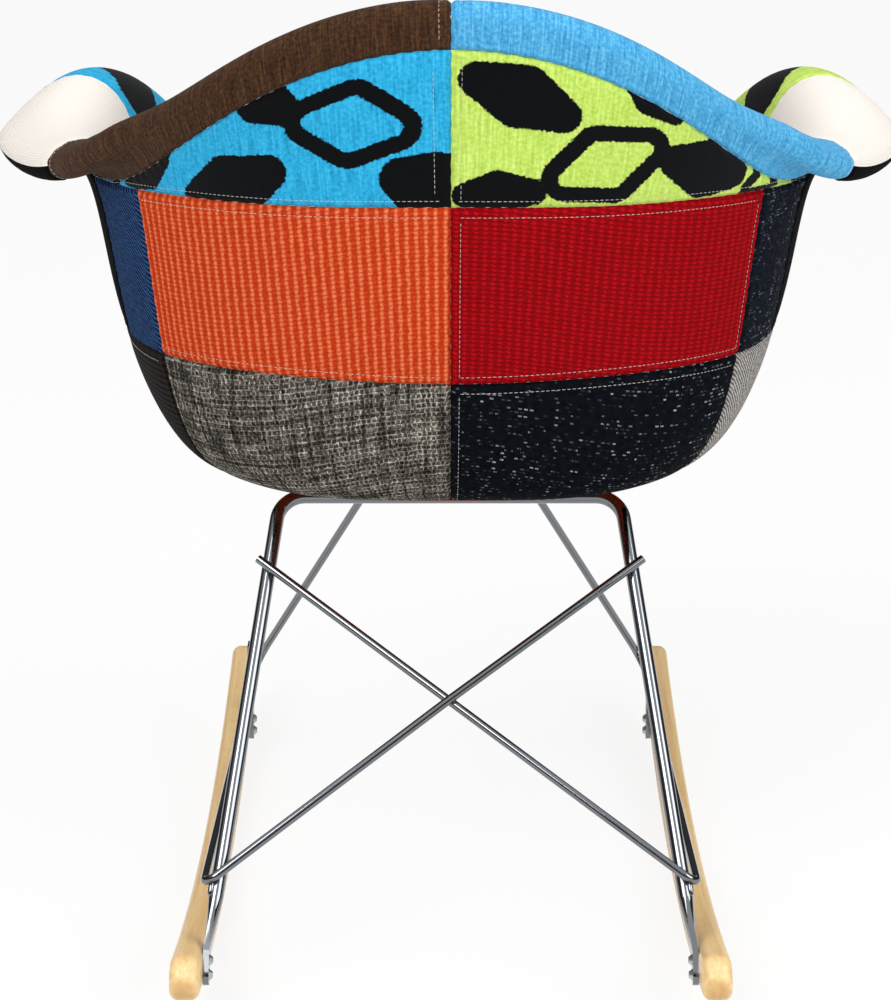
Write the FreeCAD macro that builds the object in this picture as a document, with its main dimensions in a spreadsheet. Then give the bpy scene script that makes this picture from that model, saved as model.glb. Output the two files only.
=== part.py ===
import FreeCAD, Part
import math
import os

from FreeCAD import Placement, Rotation, Vector

# Rocking armchair: a padded patchwork bucket seat on a bent rod base that stands on two wooden rockers.
# Millimetres, +Z up. The chair faces -Y, and the origin is on the floor under the middle of the rockers.
# Left is the sitter's left (+X). Right-hand pieces are mirror images of the left-hand ones.

SIZES = (
    # wooden rockers: the arc they roll on, their section and the clear width between them
    ("rocker_radius", 1750),
    ("rocker_length", 688),
    ("rocker_height", 29),
    ("rocker_thickness", 20),
    ("rocker_track", 329),
    ("rocker_nose_radius", 18),
    ("rocker_heel_radius", 8),
    ("rocker_edge_radius", 7),
    # chromed rods: the thick one is the rear leg frame, the thin ones are the two cradle rods
    ("leg_rod_diameter", 10),
    ("cradle_rod_diameter", 6),
    ("weld_gap", 0.2),
    ("leg_span", 240),
    ("leg_bar_offset", 20),
    ("leg_bend_radius", 20),
    ("rear_foot_inset", 42),
    ("front_foot_inset", 126),
    ("lower_node_height", 83),
    ("upper_lap_height", 263),
    ("lap_overhang", 9),
    ("node_bend_radius", 8),
    ("node_reach", 0.5),
    ("front_bend_radius", 14),
    ("crossing_bend_radius", 120),
    ("mount_bend_radius", 10),
    ("mount_rod_x", 34),
    ("mount_rod_lap", 22),
    # flattened rod ends and front feet, screwed to the inner faces of the rockers
    ("foot_width", 14),
    ("foot_thickness", 4),
    ("rear_foot_length", 10),
    ("rod_flare_length", 38),
    ("front_foot_top", 98),
    ("screw_pitch", 10),
    ("screw_diameter", 4),
    ("screw_length", 18),
    ("screw_head_diameter", 8),
    ("screw_head_height", 2.4),
    ("screw_clearance", 0.15),
    ("screw_hole_extra", 1),
    # seat mounts: plates, rubber pads, bolts and threaded inserts under the seat
    ("plate_thickness", 3),
    ("plate_width", 30),
    ("rear_bolt_x", 42),
    ("rear_bolt_offset", 104),
    ("front_bolt_x", 52),
    ("front_bolt_offset", -58),
    ("pad_thickness", 3),
    ("pad_diameter", 24),
    ("bolt_diameter", 6),
    ("bolt_head_width", 10),
    ("bolt_head_height", 4),
    ("washer_diameter", 13),
    ("washer_thickness", 1.2),
    ("insert_diameter", 10),
    ("bolt_clearance", 0.2),
    # bucket seat: flat oval floor of the moulded shell, layers built on it, and seams between the panels
    ("floor_height", 318),
    ("floor_half_width", 120),
    ("floor_half_depth", 118),
    ("floor_offset", 28),
    ("seat_axis_y", -35),
    ("floor_blend", 0.6),
    ("shell_wall", 5),
    ("foam_thickness", 12),
    ("foam_trim", 8),
    ("cover_thickness", 2.2),
    ("layer_gap", 0.4),
    ("seam_gap", 0.6),
    ("border_bulge", 8),
    ("border_width", 22),
    ("arm_border_width", 95),
    ("arm_lip_width", 5),
    # seams: angles round the seat from +X towards the back, and shares of the way from floor to rim;
    # the upper seam rises from the middle of the back to the shoulders
    ("flank_angle", 38),
    ("shoulder_angle", 23),
    ("arm_seam_angle", -10),
    ("front_angle", -38),
    ("floor_seam", 0.12),
    ("lower_seam", 0.555),
    ("upper_seam", 0.815),
    ("upper_seam_rise", 0.06),
)

# Vertical sections of the moulded seat shell, one each 30 degrees of turn from the front to the back.
# Each has its direction, then radius from the seat axis and rise above the floor of four guide points.
SECTION_FIELDS = (
    "turn_angle", "foot_radius", "foot_rise", "wall_radius", "wall_rise",
    "crest_radius", "crest_rise", "rim_radius", "rim_rise",
)
SECTIONS = (
    ("front", -90, 208, 14, 252, 74, 276, 100, 282, 78),
    ("corner", -62, 222, 16, 260, 80, 288, 116, 296, 88),
    ("armrest_end", -30, 238, 24, 256, 107, 254, 272, 319, 173),
    ("armrest", -2, 212, 21, 250, 133, 256, 270, 312, 210),
    ("shoulder", 28, 223, 19, 254, 132, 262, 239, 280, 223),
    ("back_corner", 60, 232, 15, 247, 136, 268, 248, 288, 301),
    ("back", 90, 207, 15, 245, 131, 264, 258, 277, 346),
)

os.makedirs("parts", exist_ok=True)
doc = FreeCAD.newDocument("rocking_armchair")
sheet = doc.addObject("Spreadsheet::Sheet", "sizes")


def fill_sheet():
    named = list(SIZES)
    for name, *values in SECTIONS:
        named += [(name + "_" + field, value) for field, value in zip(SECTION_FIELDS, values)]
    for row, (name, value) in enumerate(named, start=1):
        sheet.set("A%d" % row, name)
        sheet.set("B%d" % row, str(value))
        sheet.setAlias("B%d" % row, name)
    doc.recompute()


fill_sheet()


def size(name):
    return float(sheet.get(name))


def add(kind, name, **bound):
    """Adds an object whose named properties are bound to expressions of the sheet's cells."""
    item = doc.addObject(kind, name)
    for prop, expression in bound.items():
        item.setExpression(prop, expression)
    return item


def place(item, x, y, z, axis=Vector(0, 0, 1), angle=0):
    """Turns an object about an axis and binds its position to three expressions."""
    item.Placement = Placement(Vector(), Rotation(axis, angle))
    for letter, expression in zip("xyz", (x, y, z)):
        item.setExpression(".Placement.Base." + letter, expression)
    return item


def feature(name, shape):
    item = doc.addObject("Part::Feature", name)
    item.Shape = shape
    return item


def mirrored(shape):
    return shape.mirror(Vector(), Vector(1, 0, 0))


def combine(kind, name, items):
    """Fuses, or groups as separate solids, a list of objects."""
    item = doc.addObject(kind, name)
    setattr(item, "Links" if kind == "Part::Compound" else "Shapes", items)
    return item


def cut(name, base, tools):
    item = doc.addObject("Part::Cut", name)
    item.Base = base
    item.Tool = tools[0] if len(tools) == 1 else combine("Part::MultiFuse", name + "_tools", tools)
    return item


SIDES = ((1, "left"), (-1, "right"))
nodes = []


def node(name, item):
    """Marks an object as one of the chair's sub-parts, under the name of its file."""
    item.Label = name
    nodes.append(item)
    return item


# Heights of the stack between the rods and the seat, from the floor of the moulded shell downwards.
PLATE_TOP = "sizes.floor_height - sizes.pad_thickness"
PLATE_BOTTOM = PLATE_TOP + " - sizes.plate_thickness"
plate_bottom = size("floor_height") - size("pad_thickness") - size("plate_thickness")

# The flattened feet lie against the inner faces of the rockers.
inner_face = size("rocker_track") / 2
foot_x = inner_face - size("foot_thickness") / 2


def rocker_middle(y):
    """Height of the middle of the rocker's section at a place along it."""
    radius = size("rocker_radius")
    return radius - math.sqrt((radius - size("rocker_height") / 2) ** 2 - y ** 2)


# Rear leg frame: one thick rod bent to an upside-down U, its ends flattened to feet.
leg_radius = size("leg_rod_diameter") / 2
cradle_radius = size("cradle_rod_diameter") / 2
rear_bolt_y = size("seat_axis_y") + size("rear_bolt_offset")
front_bolt_y = size("seat_axis_y") + size("front_bolt_offset")
rear_foot_y = size("rocker_length") / 2 - size("rear_foot_inset")
front_foot_y = size("front_foot_inset") - size("rocker_length") / 2
leg_top = Vector(size("leg_span") / 2, rear_bolt_y + size("leg_bar_offset"), plate_bottom - leg_radius)
foot_middle = Vector(foot_x, rear_foot_y, rocker_middle(rear_foot_y))
foot_way = Vector(0, leg_top.y - foot_middle.y, leg_top.z - foot_middle.z).normalize()
foot_end = foot_middle - foot_way * (size("screw_pitch") / 2)
foot_top = foot_middle + foot_way * size("rear_foot_length")
leg_way = (leg_top - foot_top).normalize()
leg_end = foot_top + leg_way * size("rod_flare_length")


def across(point):
    """The same place on the other side of the chair."""
    return Vector(-point.x, point.y, point.z)


def bent_path(points, radii):
    """Straight runs through the points, joined by tangent arcs of the given radii."""
    edges = []
    start = points[0]
    for before, corner, after, radius in zip(points, points[1:], points[2:], radii):
        way_in = (corner - before).normalize()
        way_out = (after - corner).normalize()
        turn = way_in.getAngle(way_out)
        reach = radius * math.tan(turn / 2)
        to_centre = (way_out - way_in).normalize()
        arc_start = corner - way_in * reach
        arc_middle = corner + to_centre * (radius / math.cos(turn / 2) - radius)
        arc_end = corner + way_out * reach
        edges.append(Part.makeLine(start, arc_start))
        edges.append(Part.Arc(arc_start, arc_middle, arc_end).toShape())
        start = arc_end
    edges.append(Part.makeLine(start, points[-1]))
    return Part.Wire(edges)


def rod(name, points, radii, diameter):
    """A round rod along a bent path; its diameter is a cell of the sheet."""
    path = feature(name + "_path", bent_path(points, radii))
    section = add("Part::Circle", name + "_section", Radius="sizes.%s / 2" % diameter)
    section.Placement = Placement(points[0], Rotation(Vector(0, 0, 1), points[1] - points[0]))
    sweep = doc.addObject("Part::Sweep", name)
    sweep.Sections = [section]
    sweep.Spine = (path, ["Edge%d" % (i + 1) for i in range(len(path.Shape.Edges))])
    sweep.Solid = True
    return sweep


def foot_plate(top, bottom):
    """A flat strip in the plane of the rocker's inner face, with a round lower end."""
    way = (bottom - top).normalize()
    half_width = size("foot_width") / 2
    half = Vector(0, way.z, -way.y) * half_width
    back = Vector(-size("foot_thickness") / 2, 0, 0)
    outline = Part.Wire([
        Part.makeLine(bottom + half, top + half),
        Part.makeLine(top + half, top - half),
        Part.makeLine(top - half, bottom - half),
        Part.Arc(bottom - half, bottom + way * half_width, bottom + half).toShape(),
    ])
    outline.translate(back)
    return Part.Face(outline).extrude(back * -2)


def rod_flare():
    """The stretch where the round rod is hammered flat."""
    half = Vector(0, foot_way.z, -foot_way.y) * (size("foot_width") / 2)
    thick = Vector(size("foot_thickness") / 2, 0, 0)
    flat = [foot_top + half + thick, foot_top - half + thick,
            foot_top - half - thick, foot_top + half - thick]
    round_end = Part.Wire(Part.makeCircle(leg_radius, leg_end, leg_way))
    return Part.makeLoft([round_end, Part.makePolygon(flat + flat[:1])], True)


def foot_screw_places():
    """Screw places on the left rocker's inner face, two to each foot, about the middle of its height."""
    front = Vector(inner_face, front_foot_y, rocker_middle(front_foot_y))
    rear = Vector(inner_face, foot_middle.y, foot_middle.z)
    half_pitch = size("screw_pitch") / 2
    return [middle + way * step for middle, way in ((front, Vector(0, 0, 1)), (rear, foot_way))
            for step in (-half_pitch, half_pitch)]


screw_places = foot_screw_places()


def screw_holes(name, places, side, length, start):
    """Cylinders that cut the screw holes, along X from a start towards the outside."""
    holes = []
    for index, at in enumerate(places):
        hole = add("Part::Cylinder", "%s_%d" % (name, index),
                   Radius="sizes.screw_diameter / 2 + sizes.screw_clearance", Height=length)
        hole.Placement = Placement(Vector(side * (at.x + start), at.y, at.z),
                                   Rotation(Vector(0, 1, 0), 90 * side))
        holes.append(hole)
    return holes


def foot_holes(name, places, side):
    """Screw holes right through a foot, one thickness past each of its faces."""
    return screw_holes(name, places, side, "3 * sizes.foot_thickness", -2 * size("foot_thickness"))


def rear_leg_frame():
    bar_points = [leg_end, leg_top, across(leg_top), across(leg_end)]
    bend = size("leg_bend_radius")
    frame_rod = rod("leg_rod", bar_points, [bend, bend], "leg_rod_diameter")
    left_end = rod_flare().fuse(foot_plate(foot_top, foot_end))
    ends = [feature("rod_end_left", left_end), feature("rod_end_right", mirrored(left_end))]
    frame = combine("Part::MultiFuse", "leg_frame_blank", [frame_rod] + ends)
    holes = []
    for side, name in SIDES:
        holes += foot_holes("rear_foot_hole_" + name, screw_places[2:], side)
    node("rear_leg_frame", cut("leg_frame", frame, holes))


rear_leg_frame()


# Cradle rods: each runs from a lap on the opposite rear leg down behind its own leg, forward to the
# front foot, and up to the front mount bar. The two cross behind the seat, one bowed over the other.
def leg_point(height):
    return leg_end + leg_way * ((height - leg_end.z) / leg_way.z)


rear_way = Vector(0, -leg_way.z, leg_way.y).normalize() * -1
lap_offset = leg_radius + cradle_radius + size("weld_gap")
front_node = Vector(inner_face - size("foot_thickness") - cradle_radius - size("weld_gap"),
                    front_foot_y, size("lower_node_height"))
mount_rod_height = plate_bottom - cradle_radius


def cradle_points(bowed):
    lap = across(leg_point(size("upper_lap_height"))) + rear_way * lap_offset
    corner = leg_point(size("lower_node_height")) + rear_way * lap_offset
    corner += Vector(lap_offset + size("node_reach"), 0, 0)
    way = (lap - corner).normalize()
    crossing = corner + way * (corner.x / -way.x) + rear_way * (2 * cradle_radius + size("weld_gap"))
    mount = Vector(size("mount_rod_x"), front_bolt_y, mount_rod_height)
    points = [lap + way * size("lap_overhang"), corner, front_node, mount,
              mount - Vector(size("mount_rod_lap"), 0, 0)]
    radii = [size("node_bend_radius"), size("front_bend_radius"), size("mount_bend_radius")]
    if bowed:
        points.insert(1, crossing)
        radii.insert(0, size("crossing_bend_radius"))
    return points, radii


points, radii = cradle_points(bowed=True)
node("cradle_rod_left", rod("cradle_left", points, radii, "cradle_rod_diameter"))
points, radii = cradle_points(bowed=False)
node("cradle_rod_right", rod("cradle_right", [across(p) for p in points], radii, "cradle_rod_diameter"))


# Front feet: short flat strips from the cradle rods down to the rockers.
def front_feet():
    at = screw_places[0]
    top = Vector(foot_x, at.y, size("front_foot_top"))
    strip = foot_plate(top, Vector(foot_x, at.y, at.z))
    for side, name, shape in ((1, "left", strip), (-1, "right", mirrored(strip))):
        blank = feature("front_foot_blank_" + name, shape)
        holes = foot_holes("front_foot_hole_" + name, screw_places[:2], side)
        node("front_foot_" + name, cut("front_foot_cut_" + name, blank, holes))


front_feet()


# Rockers: arcs of wood with round ends and eased edges, resting on the floor under the origin.
FLAT = 0.01


def rounded_edges(name, base, radius_cell):
    """Rounds an object's edges by the radius in the cell that is named for each; None leaves one sharp."""
    doc.recompute()
    item = doc.addObject("Part::Fillet", name)
    item.Base = base
    cells = [(index, radius_cell(edge.BoundBox)) for index, edge in enumerate(base.Shape.Edges, start=1)]
    item.Edges = [(index, size(cell), size(cell)) for index, cell in cells if cell]
    return item


def end_radius(box):
    """The rocker's ends come down in a wide curve from its top and turn under in a narrow one."""
    if max(box.YLength, box.ZLength) > FLAT:
        return None
    return "rocker_nose_radius" if box.ZMin > rocker_middle(box.YMin) else "rocker_heel_radius"


def side_radius(box):
    return "rocker_edge_radius" if box.XLength < FLAT else None


def rocker(side, name):
    outside = "sizes.rocker_track / 2" if side > 0 else "-sizes.rocker_track / 2 - sizes.rocker_thickness"
    turned = {"axis": Vector(0, 1, 0), "angle": 90}
    rim = add("Part::Cylinder", "rocker_rim_" + name,
              Radius="sizes.rocker_radius", Height="sizes.rocker_thickness")
    core = add("Part::Cylinder", "rocker_core_" + name,
               Radius="sizes.rocker_radius - sizes.rocker_height", Height="sizes.rocker_thickness")
    window = add("Part::Box", "rocker_window_" + name, Length="sizes.rocker_thickness",
                 Width="sizes.rocker_length", Height="sizes.rocker_radius")
    place(rim, outside, "0", "sizes.rocker_radius", **turned)
    place(core, outside, "0", "sizes.rocker_radius", **turned)
    place(window, outside, "-sizes.rocker_length / 2", "0")
    arc = doc.addObject("Part::Common", "rocker_arc_" + name)
    arc.Base = cut("rocker_ring_" + name, rim, [core])
    arc.Tool = window
    ended = rounded_edges("rocker_ends_" + name, arc, end_radius)
    eased = rounded_edges("rocker_eased_" + name, ended, side_radius)
    holes = screw_holes("rocker_hole_" + name, screw_places, side,
                        "sizes.screw_length - sizes.foot_thickness + 2 * sizes.screw_hole_extra",
                        -size("screw_hole_extra"))
    node("rocker_" + name, cut("rocker_bored_" + name, eased, holes))


rocker(1, "left")
rocker(-1, "right")


# Foot screws: round-headed wood screws, head on the inner side of each foot.
def foot_screws():
    screws = []
    seat = -size("foot_thickness")
    for side, name in SIDES:
        for index, at in enumerate(screw_places):
            tag = "%s_%d" % (name, index)
            shank = add("Part::Cylinder", "screw_shank_" + tag,
                        Radius="sizes.screw_diameter / 2", Height="sizes.screw_length")
            head = add("Part::Cone", "screw_head_" + tag, Radius1="sizes.screw_head_diameter / 2",
                       Radius2="sizes.screw_head_diameter / 4", Height="sizes.screw_head_height")
            under_head = Vector(side * (at.x + seat), at.y, at.z)
            shank.Placement = Placement(under_head, Rotation(Vector(0, 1, 0), 90 * side))
            head.Placement = Placement(under_head, Rotation(Vector(0, 1, 0), -90 * side))
            screws.append(combine("Part::MultiFuse", "screw_" + tag, [shank, head]))
    node("foot_screws", combine("Part::Compound", "screw_group", screws))


foot_screws()

# Seat mounts: each bolt goes up through washer, plate and rubber pad into an insert in the shell.
BOLTS = [(side, row) for row in ("rear", "front") for side in (1, -1)]


def bolt_place(side, row):
    x = ("-" if side < 0 else "") + "sizes.%s_bolt_x" % row
    return x, "sizes.seat_axis_y + sizes.%s_bolt_offset" % row


def tube(name, side, row, diameter, bore, height, bottom):
    """A round piece on a bolt's axis, with a bore for the bolt or for an insert."""
    outside = add("Part::Cylinder", name + "_outside", Radius=diameter + " / 2", Height=height)
    hole = add("Part::Cylinder", name + "_bore",
               Radius="%s / 2 + sizes.bolt_clearance" % bore, Height=height)
    for item in (outside, hole):
        place(item, *bolt_place(side, row), bottom)
    return cut(name, outside, [hole])


def bolt_set():
    pads, washers, inserts, bolts = [], [], [], []
    for side, row in BOLTS:
        tag = "%s_%s" % (row, "left" if side > 0 else "right")
        pads.append(tube("pad_" + tag, side, row, "sizes.pad_diameter", "sizes.bolt_diameter",
                         "sizes.pad_thickness", PLATE_TOP))
        washers.append(tube("washer_" + tag, side, row, "sizes.washer_diameter", "sizes.bolt_diameter",
                            "sizes.washer_thickness", PLATE_BOTTOM + " - sizes.washer_thickness"))
        inserts.append(tube("insert_" + tag, side, row, "sizes.insert_diameter", "sizes.bolt_diameter",
                            "sizes.shell_wall", "sizes.floor_height"))
        head = add("Part::Prism", "bolt_head_" + tag,
                   Circumradius="sizes.bolt_head_width / sqrt(3)", Height="sizes.bolt_head_height")
        shank = add("Part::Cylinder", "bolt_shank_" + tag, Radius="sizes.bolt_diameter / 2",
                    Height="sizes.washer_thickness + sizes.plate_thickness + sizes.pad_thickness"
                           " + sizes.shell_wall")
        under = PLATE_BOTTOM + " - sizes.washer_thickness"
        place(head, *bolt_place(side, row), under + " - sizes.bolt_head_height")
        place(shank, *bolt_place(side, row), under)
        bolts.append(combine("Part::MultiFuse", "bolt_" + tag, [head, shank]))
    node("mount_pads", combine("Part::Compound", "pad_group", pads))
    node("mount_washers", combine("Part::Compound", "washer_group", washers))
    node("seat_inserts", combine("Part::Compound", "insert_group", inserts))
    node("seat_bolts", combine("Part::Compound", "bolt_group", bolts))


bolt_set()


def bolt_holes(name, rows, radius, height, bottom):
    holes = []
    for side, row in BOLTS:
        if row in rows:
            hole = add("Part::Cylinder", "%s_%s_%s" % (name, row, "left" if side > 0 else "right"),
                       Radius=radius, Height=height)
            holes.append(place(hole, *bolt_place(side, row), bottom))
    return holes


def mount_plates():
    """Two plates welded on the bar of the rear leg frame, and one bar over both cradle rods."""
    free_hole = "sizes.bolt_diameter / 2 + sizes.bolt_clearance"
    for side, name in SIDES:
        plate = add("Part::Box", "rear_plate_" + name, Length="sizes.plate_width",
                    Width="sizes.leg_bar_offset + sizes.plate_width / 2 + sizes.leg_rod_diameter / 2",
                    Height="sizes.plate_thickness")
        corner = [middle + " - sizes.plate_width / 2" for middle in bolt_place(side, "rear")]
        place(plate, *corner, PLATE_BOTTOM)
        hole = add("Part::Cylinder", "rear_plate_hole_" + name,
                   Radius=free_hole, Height="sizes.plate_thickness")
        place(hole, *bolt_place(side, "rear"), PLATE_BOTTOM)
        node("rear_mount_plate_" + name, cut("rear_plate_cut_" + name, plate, [hole]))
    bar = add("Part::Box", "front_bar", Length="2 * sizes.front_bolt_x + sizes.plate_width",
              Width="sizes.plate_width", Height="sizes.plate_thickness")
    place(bar, *(middle + " - sizes.plate_width / 2" for middle in bolt_place(-1, "front")), PLATE_BOTTOM)
    holes = bolt_holes("front_bar_hole", ("front",), free_hole, "sizes.plate_thickness", PLATE_BOTTOM)
    node("front_mount_bar", cut("front_bar_cut", bar, holes))


mount_plates()

# Bucket seat. The outer face of the moulded shell is the reference surface: the key sections are
# blended round the seat axis, and every layer lies at a depth inside (+) or outside (-) of it.
KEY_COUNT = 2 * (len(SECTIONS) - 1)
KEY_STEP = 2 * math.pi / KEY_COUNT
SECTION_KNOTS = (0, 1 / 3, 2 / 3, 1)
SECTION_KNOT_COUNTS = (4, 1, 1, 4)
CURVE_DEGREE = 3
# How finely the seat's skins are sampled round the axis and along the sections.
ANGLE_STEP = math.radians(3)
LENGTH_STEP = 6
LEAST_STEPS = 4
NUDGE = 0.001


def key_guides(index):
    """The six guide points of one key section, counted round from the front."""
    back = len(SECTIONS) - 1
    name = SECTIONS[index if index <= back else KEY_COUNT - index][0]
    way = math.radians(size(name + "_turn_angle"))
    flip = 1 if index <= back else -1
    ray = Vector(flip * math.cos(way), math.sin(way), 0)

    def guide(part):
        rise = size("floor_height") + size(name + "_%s_rise" % part)
        return ray * size(name + "_%s_radius" % part) + Vector(0, size("seat_axis_y"), rise)

    floor_edge = Vector(ray.x * size("floor_half_width"),
                        ray.y * size("floor_half_depth") + size("seat_axis_y") + size("floor_offset"),
                        size("floor_height"))
    foot = guide("foot")
    level_foot = Vector(foot.x, foot.y, floor_edge.z)
    blend = floor_edge + (level_foot - floor_edge) * size("floor_blend")
    return [floor_edge, blend, foot, guide("wall"), guide("crest"), guide("rim")]


GUIDES = [key_guides(index) for index in range(KEY_COUNT)]


def section_weight(turn):
    """Periodic blending weight: one at its own key section, nothing at the others."""
    turn = math.remainder(turn, 2 * math.pi)
    if math.isclose(turn, 0, abs_tol=1e-9):
        return 1.0
    return math.sin(KEY_COUNT * turn / 2) / (KEY_COUNT * math.tan(turn / 2))


def section_curve(angle):
    """The shell's outer section at an angle, as a curve from the floor's edge (0) to the rim (1)."""
    turn = angle + math.pi / 2
    weights = [section_weight(turn - index * KEY_STEP) for index in range(KEY_COUNT)]
    poles = [sum((key[row] * weight for key, weight in zip(GUIDES, weights)), Vector())
             for row in range(len(GUIDES[0]))]
    curve = Part.BSplineCurve()
    curve.buildFromPolesMultsKnots(poles, SECTION_KNOT_COUNTS, SECTION_KNOTS, False, CURVE_DEGREE)
    return curve


curves = {}


def curve_at(angle):
    if angle not in curves:
        curves[angle] = section_curve(angle)
    return curves[angle]


def shell_frame(angle, share):
    """Point on the reference surface, its outward normal, and the way up along the section."""
    curve = curve_at(angle)
    rise = curve.tangent(share)[0]
    turn = curve_at(angle + NUDGE).value(share) - curve_at(angle - NUDGE).value(share)
    return curve.value(share), turn.cross(rise).normalize(), rise


def layer_point(angle, share, depth):
    point, outward, rise = shell_frame(angle, share)
    return point - outward * depth


def spaced(start, end, count):
    return [start + (end - start) * i / count for i in range(count + 1)]


def spaced_angles(start, end):
    return spaced(start, end, max(LEAST_STEPS, math.ceil((end - start) / ANGLE_STEP)))


def share_below_rim(angle, width):
    """The share of the way up at which a width along the section is left to the rim."""
    return curve_at(angle).parameterAtDistance(-width, 1)


def rows_between(low, high):
    """How many steps of length the longest section takes between two shares."""
    return max(LEAST_STEPS, math.ceil(curve_at(math.pi / 2).length(low, high) / LENGTH_STEP))


def layer_grid(angles, share_rows, depth):
    return [[layer_point(angle, share, depth) for share in shares]
            for angle, shares in zip(angles, share_rows)]


def spline(points, parameters):
    curve = Part.BSplineCurve()
    curve.interpolate(Points=points, Parameters=parameters)
    return curve


class Skin:
    """A smooth surface through a grid of points; skins with the same parameters can be joined."""

    def __init__(self, grid, turns, ways):
        rows = [spline(row, ways) for row in grid]
        columns = [spline(list(poles), turns) for poles in zip(*(row.getPoles() for row in rows))]
        self.poles = [list(poles) for poles in zip(*(column.getPoles() for column in columns))]
        self.turn_knots = (columns[0].getMultiplicities(), columns[0].getKnots())
        self.way_knots = (rows[0].getMultiplicities(), rows[0].getKnots())
        self.surface = patch(self.poles, self.turn_knots, self.way_knots, CURVE_DEGREE)

    def face(self):
        return self.surface.toShape()

    def border(self, name):
        """Poles and knots of one of the four borders."""
        if name in ("start", "end"):
            return self.poles[0 if name == "start" else -1], self.way_knots
        return [row[0 if name == "low" else -1] for row in self.poles], self.turn_knots


def patch(poles, turn_knots, way_knots, turn_degree):
    surface = Part.BSplineSurface()
    surface.buildFromPolesMultsKnots(poles, turn_knots[0], way_knots[0], turn_knots[1], way_knots[1],
                                     False, False, turn_degree, CURVE_DEGREE)
    return surface


def side_face(outer, inner, name):
    """The straight face that closes the gap between two skins along one border."""
    outer_poles, knots = outer.border(name)
    inner_poles = inner.border(name)[0]
    straight_knots = ((2, 2), (0, 1))
    return patch([outer_poles, inner_poles], straight_knots, knots, turn_degree=1).toShape()


def sewn(faces):
    shell = Part.makeShell(faces)
    shell.sewShape()
    solid = Part.makeSolid(shell)
    if solid.Volume < 0:
        solid.reverse()
    return solid


def panel_solid(outer, inner):
    """A sheet of cover between two skins."""
    sides = [side_face(outer, inner, name) for name in ("start", "end", "low", "high")]
    return sewn([outer.face(), inner.face()] + sides)


def bowl_solid(outer_depth, inner_depth, top):
    """A whole bowl with its flat floor, between two depths; top gives its upper share at an angle."""
    angles = spaced_angles(-math.pi / 2, math.pi / 2)
    count = rows_between(0, top(math.pi / 2))
    ways = spaced(0, 1, count)
    rows = [spaced(0, top(angle), count) for angle in angles]
    skins = [Skin(layer_grid(angles, rows, depth), angles, ways) for depth in (outer_depth, inner_depth)]
    half = [skin.face() for skin in skins] + [side_face(*skins, "high")]
    faces = half + [mirrored(face) for face in half]
    for skin in skins:
        rim = skin.surface.vIso(0).toShape()
        faces.append(Part.Face(Part.Wire([rim, mirrored(rim)])))
    return sewn(faces)


cover_out = size("layer_gap")
cover_in = size("shell_wall") + size("foam_thickness") + 2 * size("layer_gap")
cover = size("cover_thickness")
half_seam = size("seam_gap") / 2
seam_angle = half_seam / size("back_rim_radius")
seam_share = half_seam / curve_at(-math.pi / 2).length()

# Moulded shell, with holes for the threaded inserts, and the foam bonded to its inside.
shell_blank = feature("shell_blank", bowl_solid(0, size("shell_wall"), lambda angle: 1))
insert_holes = bolt_holes("insert_hole", ("rear", "front"),
                          "sizes.insert_diameter / 2 + sizes.bolt_clearance",
                          "sizes.shell_wall", "sizes.floor_height")
node("seat_shell", cut("shell_bored", shell_blank, insert_holes))
foam_bottom = size("shell_wall") + size("layer_gap")
node("seat_foam", feature("foam", bowl_solid(foam_bottom, foam_bottom + size("foam_thickness"),
                                             lambda angle: share_below_rim(angle, size("foam_trim")))))


# Round panels in the middle: under the seat, cut out for the rubber pads, and on the seat itself.
def floor_top(angle):
    return size("floor_seam") - seam_share


under_blank = feature("underside_blank", bowl_solid(-cover_out - cover, -cover_out, floor_top))
pad_holes = bolt_holes("pad_hole", ("rear", "front"), "sizes.pad_diameter / 2 + sizes.layer_gap",
                       "sizes.cover_thickness + 2 * sizes.layer_gap",
                       "sizes.floor_height - sizes.cover_thickness - 2 * sizes.layer_gap")
node("underside_panel", cut("underside_cut", under_blank, pad_holes))
node("seat_panel", feature("seat_disc", bowl_solid(cover_in, cover_in + cover, floor_top)))

# Sewn panels of the left half: their limits round the seat, then their lower and upper seams.
OUTSIDE_PANELS = (
    ("back_upper", "shoulder_angle", None, "upper_seam", "border_width"),
    ("back_middle", "flank_angle", None, "lower_seam", "upper_seam"),
    ("back_lower", "flank_angle", None, "floor_seam", "lower_seam"),
    ("flank", "shoulder_angle", "flank_angle", "lower_seam", "upper_seam"),
    ("side_lower", "front_angle", "flank_angle", "floor_seam", "lower_seam"),
    ("arm_outer", "front_angle", "shoulder_angle", "lower_seam", "arm_lip_width"),
    ("front_apron", None, "front_angle", "floor_seam", "border_width"),
)
INSIDE_PANELS = (
    ("inner_back", "shoulder_angle", None, "lower_seam", "border_width"),
    ("inner_arm", "arm_seam_angle", "shoulder_angle", "lower_seam", "arm_border_width"),
    ("inner_arm_tip", "front_angle", "arm_seam_angle", "lower_seam", "border_width"),
    ("inner_seat", "front_angle", None, "floor_seam", "lower_seam"),
    ("inner_front", None, "front_angle", "floor_seam", "border_width"),
)
# Border strips: their limits round the seat, then their widths outside and inside of the rim.
BORDERS = (
    ("border_back", "shoulder_angle", None, "border_width", "border_width"),
    ("border_arm", "arm_seam_angle", "shoulder_angle", "arm_lip_width", "arm_border_width"),
    ("border_arm_tip", "front_angle", "arm_seam_angle", "arm_lip_width", "border_width"),
    ("border_front", None, "front_angle", "border_width", "border_width"),
)


def seam_angles(start, end):
    """Angles across a panel, short of the seams on both sides; None is the middle of the chair."""
    first = math.radians(size(start)) if start else -math.pi / 2
    last = math.radians(size(end)) if end else math.pi / 2
    return spaced_angles(first + seam_angle, last - seam_angle)


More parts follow.
